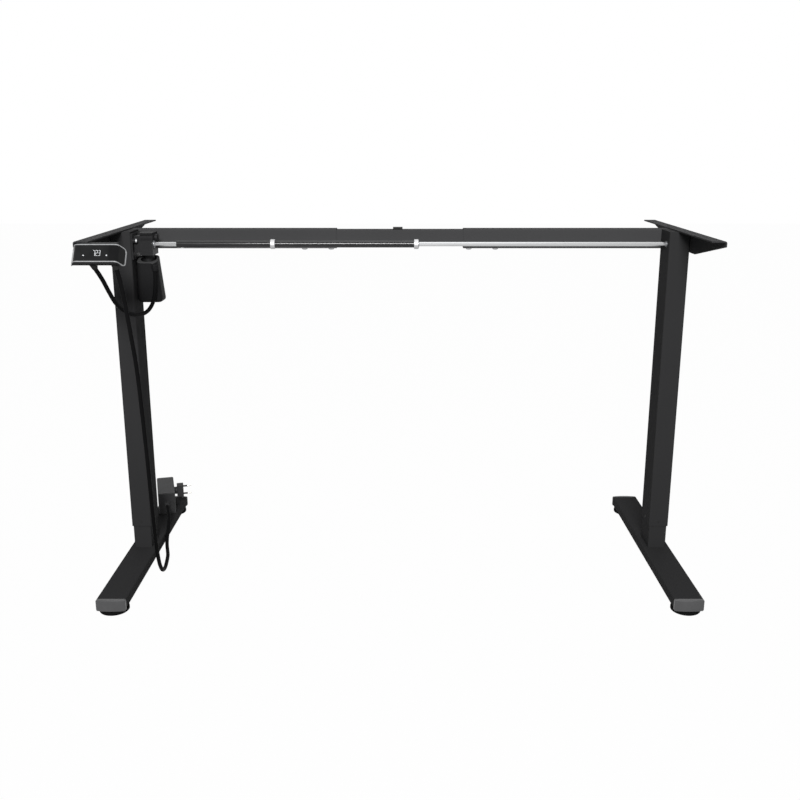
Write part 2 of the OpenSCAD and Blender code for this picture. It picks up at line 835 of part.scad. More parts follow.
module gearbox_housing() {
    column_face = -column_x + column_w / 2;
    block_left = gear_x - gear_w / 2;
    ear_end = column_face + flange_t + gear_ear_len;
    color("#2b2b2c")
    difference() {
        union() {
            // block round the worm wheel, with a ledge across its front
            translate([block_left, drive_y, drive_z]) rotate([90, 0, 90])
                linear_extrude(gear_w)
                    polygon([[-gear_front, -gear_down], [gear_back, -gear_down],
                        [gear_back, gear_up],
                        [-gear_front + gear_ledge + gear_bevel, gear_up],
                        [-gear_front + gear_ledge + gear_bevel, gear_shoulder + gear_bevel],
                        [-gear_front + gear_ledge, gear_shoulder],
                        [-gear_front, gear_shoulder]]);
            // neck above the motor
            translate([motor_x, motor_y, case_top + seat_gap])
                cylinder(r = neck_r, h = drive_z - gear_down - case_top - seat_gap + cut);
            translate([motor_x, motor_y, drive_z - gear_down - neck_flange_h])
                cylinder(r = neck_flange_r, h = neck_flange_h);
            // side boss
            translate([gear_x, drive_y + gear_boss_back, drive_z + gear_boss_rise])
                rod_x(gear_boss_d, gear_w / 2 + gear_boss_proud);
            // saddle, flange and screw ears against the column
            translate([column_face, drive_y - saddle_front, drive_z - saddle_down])
                cube([block_left - column_face + cut, saddle_front + saddle_back,
                    saddle_down + saddle_up]);
            translate([column_face, -flange_half, drive_z - flange_down])
                cube([flange_t, 2 * flange_half, flange_down + flange_up]);
            for (p = gear_screws)
                translate([column_face, p[0], drive_z + p[1]])
                    rod_x(gear_ear_d, flange_t + gear_ear_len);
        }
        // room for the wheel and the worm
        translate([motor_x - wheel_w / 2 - wheel_gap, drive_y, drive_z])
            rod_x(2 * (wheel_r + wheel_gap), wheel_w + 2 * wheel_gap);
        translate([motor_x, motor_y, drive_z - worm_len / 2 - wheel_gap])
            cylinder(r = worm_r + wheel_gap, h = worm_len + 2 * wheel_gap);
        translate([motor_x, motor_y, case_top - cut])
            cylinder(d = shaft_d + 2 * running_gap, h = drive_z - case_top);
        // journals of the wheel, and the way through to the column
        translate([block_left - cut, drive_y, drive_z])
            rod_x(wheel_hub_d + 2 * running_gap, gear_w + gear_boss_proud + 2 * cut);
        translate([column_face - cut, drive_y, drive_z])
            rod_x(flange_hole_d, block_left - column_face);
        for (p = gear_screws)
            translate([column_face - cut, p[0], drive_z + p[1]])
                rod_x(gear_screw_d + 2 * thread_gap, ear_end - column_face + 2 * cut);
    }
}

module gearbox_lid() {
    color("#343435")
    translate([gear_x - gear_w / 2 - gear_lid_over, drive_y - gear_front + gear_lid_over,
            drive_z + gear_up])
        cube([gear_w + gear_lid_over, gear_front + gear_back - gear_lid_over, gear_lid_t]);
}

module gearbox_screws() {
    color("#d6d8da")
    for (p = gear_screws)
        translate([-column_x + column_w / 2 + flange_t + gear_ear_len, p[0], drive_z + p[1]])
            rotate([0, 90, 0])
                button_screw(gear_screw_d, gear_screw_head_d, gear_screw_head_h,
                    gear_screw_len, m6_socket_af * gear_screw_d / m6_d, m6_socket_depth);
}

// A ring of the motor cover: narrower by three insets, at one height
function cover_ring(in_left, in_right, in_d, r, z) =
    let (mid = -column_x + (column_w + motor_w) / 2 + motor_side_gap + (in_left - in_right) / 2)
    [for (p = round_rect(motor_w - in_left - in_right, motor_d - 2 * in_d, r))
        [p[0] + mid, p[1] + motor_y, z]];

// Closes rings of equal length into a solid, from the bottom up
module loft(rings) {
    n = len(rings[0]);
    last = len(rings) - 1;
    polyhedron([for (ring = rings) each ring],
        concat([[for (k = [0:n - 1]) k]],
            [for (i = [0:last - 1], k = [0:n - 1])
                let (a = i * n + k, b = i * n + (k + 1) % n)
                each [[a, a + n, b], [b, a + n, b + n]]],
            [[for (k = [n - 1:-1:0]) last * n + k]]));
}

// The motor cover's form, drawn in by a wall, under its sloping top
module cover_form(wall) {
    difference() {
        loft(concat(
            [for (a = [0:30:90]) let (s = motor_round_in * (1 - sin(a)) + wall)
                cover_ring(s, s, s, motor_corner_r - wall,
                    motor_bottom + wall + (motor_round - wall) * (1 - cos(a)))],
            [cover_ring(motor_taper_left + wall, motor_taper_right + wall, motor_taper_d + wall,
                motor_top_r - wall, motor_top)]));
        translate([motor_x, motor_y + motor_d / 2 - motor_taper_d, motor_top - wall])
            rotate([motor_slope, 0, 0]) translate([-motor_w, -2 * motor_d, 0])
                cube([2 * motor_w, 3 * motor_d, motor_d]);
    }
}

module motor_cover() {
    color("#1c1c1d") {
        difference() {
            cover_form(0);
            cover_form(motor_wall);
            translate([motor_x, motor_y, motor_top - case_drop])
                cylinder(r = motor_well_r, h = case_drop + cut);
        }
        // socket for the motor cable
        translate([motor_x, motor_y, 0]) rotate([0, 0, socket_turn])
            translate([case_r + motor_wall, -socket_w / 2, motor_top - socket_drop - socket_h])
                cube([socket_reach - case_r - motor_wall, socket_w, socket_h]);
    }
}

module motor_case() {
    color("#8f9194")
    translate([motor_x, motor_y, case_top - case_len])
    difference() {
        cylinder(r = case_r, h = case_len);
        translate([0, 0, case_wall]) cylinder(r = case_r - case_wall, h = case_len - 2 * case_wall);
        translate([0, 0, -cut])
            cylinder(d = shaft_d + 2 * running_gap, h = case_len + 2 * cut);
    }
}

module motor_rotor() {
    case_bottom = case_top - case_len;
    color("#a8703a")
    translate([motor_x, motor_y, 0]) {
        translate([0, 0, motor_top - rotor_drop - rotor_len]) cylinder(r = rotor_r, h = rotor_len);
        translate([0, 0, case_bottom])
            cylinder(d = shaft_d, h = drive_z - worm_len / 2 - case_bottom);
        translate([0, 0, drive_z - worm_len / 2]) cylinder(r = worm_r, h = worm_len);
    }
}

// Handset: its face is bent round two wings, then leaned back
function face_half(off) = concat(
    [for (i = [0:corner_steps]) let (a = wing_angle * i / corner_steps)
        [panel_w / 2 - wing_bend_r * tan(wing_angle / 2) + (wing_bend_r - off) * sin(a),
            wing_bend_r - (wing_bend_r - off) * cos(a)]],
    [[panel_w / 2 + wing_over * wing_out - off * sin(wing_angle),
        wing_over * handset_depth + off * cos(wing_angle)]]);

function flip(pts) = [for (i = [len(pts) - 1:-1:0]) [-pts[i][0], pts[i][1]]];

function face(off) = concat(flip(face_half(off)), face_half(off));

function back_to_front(pts) = [for (i = [len(pts) - 1:-1:0]) pts[i]];

// Places a shape that is drawn square to the panel, z running down its slope as -z
module leaned() {
    translate([handset_x, handset_y, handset_z]) rotate([-panel_lean, 0, 0]) children();
}

// Side outline of the handset with round corners, drawn in by an inset, as long as it is wide
module side_form(inset, extra) {
    r = wing_r - inset;
    y = handset_depth - inset - r;
    low = inset - panel_h - extra;
    translate([-panel_w, 0, 0]) rotate([90, 0, 90]) linear_extrude(2 * panel_w)
        polygon(concat([[-handset_depth, low]], arc([y, low + r], r, 270, 360, corner_steps),
            arc([y, -inset - r], r, 0, 90, corner_steps), [[-handset_depth, -inset]]));
}

// A layer of the bent face between two offsets
module face_layer(off_out, off_in, inset) {
    intersection() {
        translate([0, 0, -panel_h])
            linear_extrude(panel_h) polygon(concat(face(off_out), back_to_front(face(off_in))));
        side_form(inset, 0);
    }
}

module handset_housing() {
    back_y = handset_y + handset_depth * cos(panel_lean);
    skin = panel_t + seat_gap;
    color("#161617")
    difference() {
        union() {
            intersection() {
                leaned() {
                    intersection() {
                        translate([0, 0, -panel_h]) linear_extrude(panel_h) polygon(face(skin));
                        side_form(0, chin);
                    }
                    // chin under the trim
                    intersection() {
                        translate([0, 0, -panel_h - chin])
                            linear_extrude(chin - seat_gap) polygon(face(0));
                        side_form(0, chin);
                    }
                    // joins the two, behind the trim
                    intersection() {
                        translate([0, 0, -panel_h - chin / 2])
                            linear_extrude(chin) polygon(face(skin));
                        side_form(0, chin);
                    }
                }
                translate([handset_x - panel_w, handset_y - panel_w, handset_z - handset_floor])
                    cube([2 * panel_w, 2 * panel_w, handset_floor + cut]);
            }
            // flange under the desktop, on a wedge that fills the lean
            translate([flange_x[0], handset_y + skin, column_top - flange_plate_t])
                cube([flange_x[1] - flange_x[0], flange_back, flange_plate_t]);
            translate([flange_x[0] + wing_bend_r, 0, 0]) rotate([90, 0, 90])
                linear_extrude(flange_x[1] - flange_x[0] - 2 * wing_bend_r)
                    polygon([[handset_y + skin, column_top - flange_plate_t + seat_gap],
                        [handset_y + skin + shell_t, handset_z - 2 * shell_t],
                        [back_y, handset_z - handset_depth * sin(panel_lean) - seat_gap],
                        [back_y, column_top - flange_plate_t + seat_gap]]);
        }
        // hollow behind the panel for the board
        leaned() translate([-panel_w / 2 + shell_t, board_depth - shell_t, -panel_h + 2 * shell_t])
            cube([panel_w - 2 * shell_t, board_t + 2 * shell_t, panel_h - 4 * shell_t]);
        for (s = [-1, 1])
            translate([slot_x + s * slot_pitch / 2, slot_y, column_top]) {
                translate([0, 0, -slot_seat - cut]) cylinder(d = slot_d, h = slot_seat + 2 * cut);
                translate([0, 0, -2 * handset_depth])
                    cylinder(d = slot_way_d, h = 2 * handset_depth - slot_seat);
            }
    }
}

module handset_panel() {
    color("#0c0c0d") leaned() face_layer(0, panel_t, trim_w + seat_gap);
}

module handset_trim() {
    color("#c6c8cb") leaned()
    difference() {
        face_layer(-trim_proud, panel_t, 0);
        intersection() {
            translate([0, 0, -panel_h]) linear_extrude(panel_h)
                polygon(concat(face(-2 * trim_proud), back_to_front(face(2 * panel_t))));
            side_form(trim_w, 0);
        }
    }
}

module handset_board() {
    color("#1d4a2e") leaned()
        translate([-panel_w / 2 + shell_t + seat_gap, board_depth, -panel_h + 2 * shell_t + seat_gap])
            cube([panel_w - 2 * shell_t - 2 * seat_gap, board_t,
                panel_h - 4 * shell_t - 2 * seat_gap]);
}

// Tapered boots where the cables leave the handset
module cable_boots() {
    color("#141414")
    for (i = [0, 1])
        translate([boot_places[i][0], boot_places[i][1], handset_z - handset_floor])
        intersection() {
            rotate([boot_leans[i][0], boot_leans[i][1], 0]) translate([0, 0, -boot_len])
                cylinder(r1 = boot_tip_r, r2 = boot_r + (boot_r - boot_tip_r) * boot_r / boot_len,
                    h = boot_len + boot_r);
            translate([-2 * boot_r, -2 * boot_r, -2 * boot_len])
                cube([4 * boot_r, 4 * boot_r, 2 * boot_len]);
        }
}

// A round cable swept along a smooth curve through its route
function spline(p, i, t) =
    let (a = p[max(i - 1, 0)], b = p[i], c = p[i + 1], d = p[min(i + 2, len(p) - 1)])
    b + t * (c - a) / 2 + t * t * (2 * a - 5 * b + 4 * c - d) / 2
        + t * t * t * (3 * b - a - 3 * c + d) / 2;

function unit(v) = v / norm(v);

module cable(route, steps) {
    sides = 10;
    path = concat([for (i = [0:len(route) - 2], k = [0:steps - 1]) spline(route, i, k / steps)],
        [route[len(route) - 1]]);
    last = len(path) - 1;
    rings = [for (i = [0:last])
        let (t = unit(path[min(i + 1, last)] - path[max(i - 1, 0)]),
            u = unit(cross(t, [1, 0, 0])),
            w = cross(t, u))
        for (k = [0:sides - 1])
            path[i] + cable_d / 2 * (cos(360 * k / sides) * u + sin(360 * k / sides) * w)];
    walls = [for (i = [0:last - 1], k = [0:sides - 1])
        let (a = i * sides + k, b = i * sides + (k + 1) % sides)
        each [[a, a + sides, b], [b, a + sides, b + sides]]];
    polyhedron(rings, concat([[for (k = [0:sides - 1]) k]],
        walls, [[for (k = [sides - 1:-1:0]) last * sides + k]]));
}

module motor_cable() {
    color("#0e0e0e") cable(motor_route, 2);
}

module power_cable() {
    color("#0e0e0e") cable(power_route, 2);
}

module motor_cable_plug() {
    color("#1a1a1a")
    translate([motor_x, motor_y, motor_top - plug_drop - plug_len])
        rotate([0, 0, socket_turn])
            translate([socket_reach, -plug_w / 2, 0])
                cube([plug_w, plug_w, plug_len]);
}

// Power supply with its cable gland
module supply_place() {
    translate([supply_x, supply_y, foot_top]) rotate([0, 0, supply_turn]) children();
}

module power_supply() {
    color("#2f2f30") supply_place() {
        bar(supply_w, supply_len, supply_r, supply_h);
        translate([0, -supply_len / 2 + cut, gland_rise]) rotate([90, 0, 0])
            cylinder(d = gland_d, h = gland_h + cut);
        translate([0, -supply_len / 2 - gland_h, gland_rise]) rotate([90, 0, 0])
            cylinder(r1 = relief_r, r2 = relief_tip_r, h = relief_len);
        // round neck that the plug turns on
        translate([supply_w / 2 - cut, 0, plug_rise]) rod_x(plug_neck_d, plug_neck_len + cut);
    }
}

module mains_plug() {
    plug_x = supply_w / 2 + plug_neck_len;
    color("#262627") supply_place() translate([plug_x, 0, plug_rise]) {
        rotate([90, 0, 90])
            bar(plug_body_w, plug_body_h, supply_r, plug_body_len);
        for (s = [-1, 1])
            translate([plug_body_len - cut, 0, s * pin_pitch / 2]) {
                rod_x(pin_d, pin_len + cut - pin_d / 2);
                translate([pin_len + cut - pin_d / 2, 0, 0]) sphere(d = pin_d);
            }
    }
}

centre_rail();
rail_pad();
rail(-1);  // left_rail
rail(1);  // right_rail
column(-1);  // left_column
column(1);  // right_column
clamp_screws(-1);  // left_clamp_screws
clamp_screws(1);  // right_clamp_screws
bracket(-1);  // left_bracket
bracket(1);  // right_bracket
bracket_screws(-1);  // left_bracket_screws
bracket_screws(1);  // right_bracket_screws
lower_bush(-1);  // left_lower_bush
lower_bush(1);  // right_lower_bush
head_casting(-1);  // left_head_casting
head_casting(1);  // right_head_casting
lead_screw(-1);  // left_lead_screw
lead_screw(1);  // right_lead_screw
bevel_gear(-1);  // left_bevel_gear
bevel_gear(1);  // right_bevel_gear
inner_tube(-1);  // left_inner_tube
inner_tube(1);  // right_inner_tube
upper_bush(-1);  // left_upper_bush
upper_bush(1);  // right_upper_bush
screw_nut(-1);  // left_screw_nut
screw_nut(1);  // right_screw_nut
foot_beam(-1);  // left_foot_beam
foot_beam(1);  // right_foot_beam
foot_caps(-1);  // left_foot_caps
foot_caps(1);  // right_foot_caps
foot_bolts(-1);  // left_foot_bolts
foot_bolts(1);  // right_foot_bolts
glide(-1, -1);  // left_front_glide
glide(-1, 1);  // left_rear_glide
glide(1, -1);  // right_front_glide
glide(1, 1);  // right_rear_glide
hex_stub();
bevel_pinion(-1);  // left_bevel_pinion
worm_wheel();
drive_tube();
tube_collars();
tube_set_screw();
hex_rod();
bevel_pinion(1);  // right_bevel_pinion
gearbox_housing();
gearbox_lid();
gearbox_screws();
motor_cover();
motor_case();
motor_rotor();
handset_housing();
handset_panel();
handset_trim();
handset_board();
cable_boots();
motor_cable();
motor_cable_plug();
power_cable();
power_supply();
mains_plug();
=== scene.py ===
import math

import bpy
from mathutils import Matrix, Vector


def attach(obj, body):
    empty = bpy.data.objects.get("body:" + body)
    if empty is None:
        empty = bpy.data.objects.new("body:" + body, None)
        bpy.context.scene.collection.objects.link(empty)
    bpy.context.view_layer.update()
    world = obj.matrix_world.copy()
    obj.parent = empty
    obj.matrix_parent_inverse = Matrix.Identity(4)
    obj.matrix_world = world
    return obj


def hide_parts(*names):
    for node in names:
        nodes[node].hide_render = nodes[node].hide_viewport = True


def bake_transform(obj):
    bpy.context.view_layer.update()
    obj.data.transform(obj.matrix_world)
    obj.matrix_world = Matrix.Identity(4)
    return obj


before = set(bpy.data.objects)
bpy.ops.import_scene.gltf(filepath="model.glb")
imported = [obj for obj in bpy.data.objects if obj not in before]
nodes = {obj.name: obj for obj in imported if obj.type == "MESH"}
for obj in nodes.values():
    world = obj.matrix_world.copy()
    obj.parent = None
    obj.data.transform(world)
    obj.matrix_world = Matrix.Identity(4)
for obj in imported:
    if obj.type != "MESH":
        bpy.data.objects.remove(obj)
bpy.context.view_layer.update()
bpy.ops.object.select_all(action="DESELECT")

# Camera: at standing eye height in front of the frame, level from side to side
# and tipped a little down.
camera_data = bpy.data.cameras.new("camera")
camera_data.sensor_fit = "HORIZONTAL"
camera_data.sensor_width = 36.0
camera_data.lens = 42.871
camera = bpy.data.objects.new("camera", camera_data)
camera.location = (0.0, -1.9772, 0.8962)
camera.rotation_euler = (math.radians(90.0 - 15.161), 0.0, 0.0)
bpy.context.scene.collection.objects.link(camera)
bpy.context.scene.camera = camera
bpy.context.scene.view_settings.view_transform = "Standard"


# Shader maths: a socket of a material's node tree, so that a pattern reads as
# plain arithmetic. node() adds any other node and gives back one of its outputs.
class Pattern:
    def __init__(self, tree, socket):
        self.tree = tree
        self.socket = socket

    def node(self, kind, settings=None, inputs=None, output=0):
        made = self.tree.nodes.new("ShaderNode" + kind)
        for name, value in (settings or {}).items():
            setattr(made, name, value)
        for name, value in (inputs or {}).items():
            if isinstance(value, Pattern):
                self.tree.links.new(value.socket, made.inputs[name])
            else:
                made.inputs[name].default_value = value
        return Pattern(self.tree, made.outputs[output])

    def maths(self, operation, first, second):
        return self.node("Math", {"operation": operation}, {0: first, 1: second})

    def __add__(self, other):
        return self.maths("ADD", self, other)

    def __radd__(self, other):
        return self.maths("ADD", other, self)

    def __rsub__(self, other):
        return self.maths("SUBTRACT", other, self)

    def __mul__(self, other):
        return self.maths("MULTIPLY", self, other)

    def above(self, edge, softness):
        """0 below an edge, 1 above it, with a soft step between."""
        return self.node("MapRange", {"interpolation_type": "SMOOTHSTEP"},
                         {"Value": self, "From Min": edge - softness, "From Max": edge + softness})

    def stretched(self, x, y, z):
        return self.node("Mapping", None, {"Vector": self, "Scale": (x, y, z)})

    def part(self, axis):
        return self.node("SeparateXYZ", None, {"Vector": self}, output="XYZ".index(axis))

    def noise(self, scale, detail=2.0, roughness=0.5):
        return self.node("TexNoise", None,
                         {"Vector": self, "Scale": scale, "Detail": detail, "Roughness": roughness})

    def colours(self, dark, light):
        return self.node("Mix", {"data_type": "RGBA"},
                         {"Factor": self, 6: (*dark, 1.0), 7: (*light, 1.0)}, output=2)


def new_material(name, **constants):
    """A Principled material with constant sockets; returns it, its shader and its coordinates."""
    material = bpy.data.materials.new(name)
    material.use_nodes = True
    tree = material.node_tree
    shader = tree.nodes["Principled BSDF"]
    for socket, value in constants.items():
        shader.inputs[socket.replace("_", " ")].default_value = value
    return material, shader, Pattern(tree, None).node("TexCoord", output=3)


def feed(shader, socket, pattern):
    """Lets a pattern drive one socket of a shader."""
    pattern.tree.links.new(pattern.socket, shader.inputs[socket])


def bump(shader, height, distance):
    """Raises a shader's surface by a pattern, so many metres high."""
    feed(shader, "Normal", height.node("Bump", None, {"Height": height, "Distance": distance}))


def dress(material, *names):
    """Gives CAD pieces, which keep their shape, one material."""
    for name in names:
        nodes[name].data.materials.clear()
        nodes[name].data.materials.append(material)


# Studio: a white floor that keeps a faint shadow, a broad lamp over the camera that
# lights every front, one above for the tops, and a dim surround that fills the sides.
# Camera, glossy and transmission rays see floor and surround as white.
def shown(pattern):
    """1 for a camera, glossy or transmission ray, 0 for any other."""
    camera_ray, glossy_ray, through_ray = (
        pattern.node("LightPath", output=i) for i in (0, 3, 6))
    return pattern.maths("MAXIMUM", pattern.maths("MAXIMUM", camera_ray, glossy_ray), through_ray)


WHITE = (1.0, 1.0, 1.0, 1.0)
floor_reach = 9.0
floor_mesh = bpy.data.meshes.new("floor")
floor_mesh.from_pydata([(x * floor_reach, y * floor_reach, 0)
                        for x, y in ((-1, -1), (1, -1), (1, 1), (-1, 1))], [], [(0, 1, 2, 3)])
floor = bpy.data.objects.new("floor", floor_mesh)
bpy.context.scene.collection.objects.link(floor)
floor_material = bpy.data.materials.new("studio_floor")
floor_material.use_nodes = True
floor_tree = floor_material.node_tree
floor_tree.nodes.clear()
floor_ray = Pattern(floor_tree, None)
floor_white = floor_ray.node("Emission", None, {"Color": WHITE, "Strength": 1.0})
floor_matt = floor_ray.node("BsdfDiffuse", None, {"Color": (0.4, 0.4, 0.4, 1.0)})
floor_mix = floor_ray.node("MixShader", None,
                           {0: shown(floor_ray) * 0.985, 1: floor_matt, 2: floor_white})
floor_out = floor_tree.nodes.new("ShaderNodeOutputMaterial")
floor_tree.links.new(floor_mix.socket, floor_out.inputs["Surface"])
floor_mesh.materials.append(floor_material)

world = bpy.data.worlds.new("studio")
bpy.context.scene.world = world
world.use_nodes = True
world.node_tree.nodes.clear()
ray = Pattern(world.node_tree, None)
surround = ray.node("Background", None, {"Color": WHITE, "Strength": 0.11})
backdrop = ray.node("Background", None, {"Color": WHITE, "Strength": 1.0})
world_mix = ray.node("MixShader", None, {0: shown(ray), 1: surround, 2: backdrop})
world_out = world.node_tree.nodes.new("ShaderNodeOutputWorld")
world.node_tree.links.new(world_mix.socket, world_out.inputs["Surface"])

for name, place, aim, size, power in (
        ("lamp_key", (-0.2, -3.4, 2.3), (0.0, 0.0, 0.45), (1.3, 0.8), 190.0),
        ("lamp_above", (0.3, 0.2, 2.7), (0.1, 0.0, 0.3), (2.6, 1.6), 17.0)):
    lamp_data = bpy.data.lights.new(name, "AREA")
    lamp_data.shape = "RECTANGLE"
    lamp_data.size = size[0]
    lamp_data.size_y = size[1]
    lamp_data.energy = power
    lamp = bpy.data.objects.new(name, lamp_data)
    lamp.location = place
    lamp.rotation_euler = (Vector(aim) - Vector(place)).to_track_quat("-Z", "Y").to_euler()
    bpy.context.scene.collection.objects.link(lamp)


# Cables: round black leads with a soft jacket. One hangs from the handset to the motor,
# the other falls to the floor and rises over the foot to the power supply.
cable_radius = 0.004
motor_route = [
    (-547.4, -264.9, 677.1), (-546.5, -259.6, 671.5), (-545, -252.6, 664.6),
    (-542.4, -239, 649.8), (-539, -220, 626.5), (-535.1, -197, 602.5), (-529.2, -163.5, 581.8),
    (-521.4, -118.5, 566.6), (-513.6, -73.5, 563.6), (-508.2, -43.5, 573.4), (-505.3, -28, 591),
    (-503.9, -21.4, 611), (-503.3, -19.9, 628), (-503.27, -19.6, 640.4)]
power_route = [
    (-507.2, -269.9, 675.4), (-505.8, -269.5, 668.6), (-503.2, -269.2, 656),
    (-499.8, -268.5, 633), (-497.2, -267, 608), (-494.8, -264.5, 578), (-492.3, -261, 545),
    (-489, -254, 487), (-487.5, -245, 400), (-488.5, -230, 304), (-492, -210, 214),
    (-496.5, -186, 137), (-501, -161, 80), (-504.5, -136, 40), (-507, -109, 14.8),
    (-509.5, -79, 5.2), (-513.5, -45, 4.3), (-519, -12, 4.3), (-525, 11, 5.6), (-530, 29, 12),
    (-532.4, 44.5, 23), (-532.8, 58.5, 34.5), (-534.5, 74, 45), (-538.5, 94, 54),
    (-544, 112.5, 59.5), (-549.5, 129.2, 61), (-552.1, 138.6, 61)]


def smooth_path(route, steps):
    """Points in metres on a smooth curve through the route's points in millimetres."""
    points = [Vector(point) / 1000 for point in route]
    path = []
    for i in range(len(points) - 1):
        before, here = points[max(i - 1, 0)], points[i]
        ahead, beyond = points[i + 1], points[min(i + 2, len(points) - 1)]
        for k in range(steps):
            t = k / steps
            path.append(here + t * (ahead - before) / 2
                        + t * t * (2 * before - 5 * here + 4 * ahead - beyond) / 2
                        + t * t * t * (3 * here - before - 3 * ahead + beyond) / 2)
    return path + [points[-1]]


def cable_along(name, path, radius):
    """A round lead along a path."""
    curve = bpy.data.curves.new(name, "CURVE")
    curve.dimensions = "3D"
    curve.bevel_depth = radius
    curve.bevel_resolution = 6
    curve.use_fill_caps = True
    spline = curve.splines.new("POLY")
    spline.points.add(len(path) - 1)
    for point, place in zip(spline.points, path):
        point.co = (*place, 1.0)
    spline.use_smooth = True
    made = bpy.data.objects.new(name, curve)
    bpy.context.scene.collection.objects.link(made)
    bpy.ops.object.select_all(action="DESELECT")
    made.select_set(True)
    bpy.context.view_layer.objects.active = made
    bpy.ops.object.convert(target="MESH")
    bpy.ops.object.shade_smooth()
    return made


jacket, jacket_shader, jacket_place = new_material("cable_jacket", Specular_IOR_Level=0.008)
jacket_grain = jacket_place.noise(900.0, 3.0)
jacket_cloud = jacket_place.noise(14.0, 2.0)
feed(jacket_shader, "Base Color",
     jacket_cloud.colours((0.003, 0.003, 0.0032), (0.007, 0.007, 0.0073)))
feed(jacket_shader, "Roughness", 0.42 + jacket_grain * 0.16)
bump(jacket_shader, jacket_grain, 0.00005)

for name, route, body in (("motor_cable", motor_route, "left_frame"),
                          ("power_cable", power_route, None)):
    path = smooth_path(route, 6)
    lead = cable_along(name + "_lead", path, cable_radius)
    lead.data.materials.append(jacket)
    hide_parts(name)
    if body:
        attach(lead, body)
    else:
        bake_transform(lead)
    length = sum((b - a).length for a, b in zip(path, path[1:]))


# Centre rail of the crossbar: a rectangular steel tube that both outer rails slide on,
# in fine matt black powder coat.
def powder_coat(name, dark, light):
    material, shader, place = new_material(name, Specular_IOR_Level=0.004)
    grain = place.noise(1500.0, 2.0)
    cloud = place.noise(7.0, 3.0)
    feed(shader, "Base Color", (grain * 0.7 + cloud * 0.3).colours(dark, light))
    feed(shader, "Roughness", 0.5 + cloud * 0.14)
    bump(shader, grain, 0.0001)
    return material


# The rails' copy of the coat is painted lighter than the columns': painted light on the crossbar.
rail_coat_painted_light = powder_coat("rail_powder_coat_painted_light", (0.037, 0.037, 0.038), (0.057, 0.057, 0.0585))
dress(rail_coat_painted_light, "centre_rail")

# Pad on the centre rail: a block of black rubber, glued on, that meets the desktop
# and keeps it from drumming.
rubber, rubber_shader, rubber_place = new_material("black_rubber", Specular_IOR_Level=0.08)
rubber_grain = rubber_place.noise(2400.0)
feed(rubber_shader, "Base Color",
     rubber_place.noise(60.0).colours((0.012, 0.012, 0.012), (0.022, 0.022, 0.022)))
feed(rubber_shader, "Roughness", 0.6 + rubber_grain * 0.2)
bump(rubber_shader, rubber_grain, 0.00008)
dress(rubber, "rail_pad")

# Outer rails and outer column tubes: each rail is welded to the back of its column.
# Both have the same black coat; its copy on the columns is painted darker, as painted shade.
# The columns' copy, painted darker than the rails': painted shade lower down the frame.
coat = powder_coat("column_powder_coat_painted_shade", (0.021, 0.021, 0.0215), (0.033, 0.033, 0.034))
dress(rail_coat_painted_light, "left_rail", "right_rail")
dress(coat, "left_column", "right_column")

# Clamp screws: button-head screws of grey zinc, two under each outer rail, that
# press the centre rail up against its slide.
zinc, zinc_shader, zinc_place = new_material("bright_zinc", Metallic=1.0)
zinc_cloud = zinc_place.noise(350.0, 3.0)
feed(zinc_shader, "Base Color", zinc_cloud.colours((0.40, 0.405, 0.41), (0.54, 0.545, 0.55)))
feed(zinc_shader, "Roughness", 0.3 + zinc_cloud * 0.16)
dress(zinc, "left_clamp_screws", "right_clamp_screws")

# Desktop brackets: folded from sheet and coated with a coarse textured powder. Its glints are
# painted into the colour as lighter specks, which are also a little smoother.
textured, textured_shader, textured_place = new_material(
    "textured_powder_coat", Specular_IOR_Level=0.006)
pebbles = textured_place.noise(420.0, 4.0, 0.62)
# Painted highlight: lighter specks in the colour stand in for glints off the coarse coat.
painted_glint_specks = textured_place.noise(760.0, 2.0).above(0.6, 0.08)
feed(textured_shader, "Base Color", (pebbles * 0.55 + painted_glint_specks * 0.45).colours(
    (0.014, 0.014, 0.0145), (0.068, 0.068, 0.07)))
feed(textured_shader, "Roughness", 0.52 - painted_glint_specks * 0.14)
bump(textured_shader, pebbles, 0.0005)
dress(textured, "left_bracket", "right_bracket")

# Bracket and foot screws: button heads of blackened steel.
blackened, blackened_shader, blackened_place = new_material("blackened_steel", Metallic=0.7)
blackened_cloud = blackened_place.noise(400.0)
feed(blackened_shader, "Base Color",
     blackened_cloud.colours((0.02, 0.02, 0.021), (0.05, 0.05, 0.052)))
feed(blackened_shader, "Roughness", 0.36 + blackened_cloud * 0.14)
dress(blackened, "left_bracket_screws", "right_bracket_screws",
      "left_foot_bolts", "right_foot_bolts")

# Slide bushes: black nylon linings between the tubes. Pins of the lower ones show as
# small dimples in the outer tube.
nylon, nylon_shader, nylon_place = new_material("black_nylon", Specular_IOR_Level=0.15)
nylon_cloud = nylon_place.noise(300.0)
feed(nylon_shader, "Base Color", nylon_cloud.colours((0.010, 0.010, 0.010), (0.018, 0.018, 0.018)))
feed(nylon_shader, "Roughness", 0.46 + nylon_cloud * 0.16)
dress(nylon, "left_lower_bush", "right_lower_bush", "left_upper_bush", "right_upper_bush")

# Head castings: blocks of bare alloy, as cast, that carry the lead screws and the
# bevel gears inside the tops of the columns.
cast, cast_shader, cast_place = new_material("cast_alloy", Metallic=1.0)
cast_grain = cast_place.noise(700.0, 4.0)
feed(cast_shader, "Base Color", cast_grain.colours((0.42, 0.43, 0.44), (0.56, 0.57, 0.58)))
feed(cast_shader, "Roughness", 0.42 + cast_grain * 0.2)
bump(cast_shader, cast_grain, 0.0002)
dress(cast, "left_head_casting", "right_head_casting")

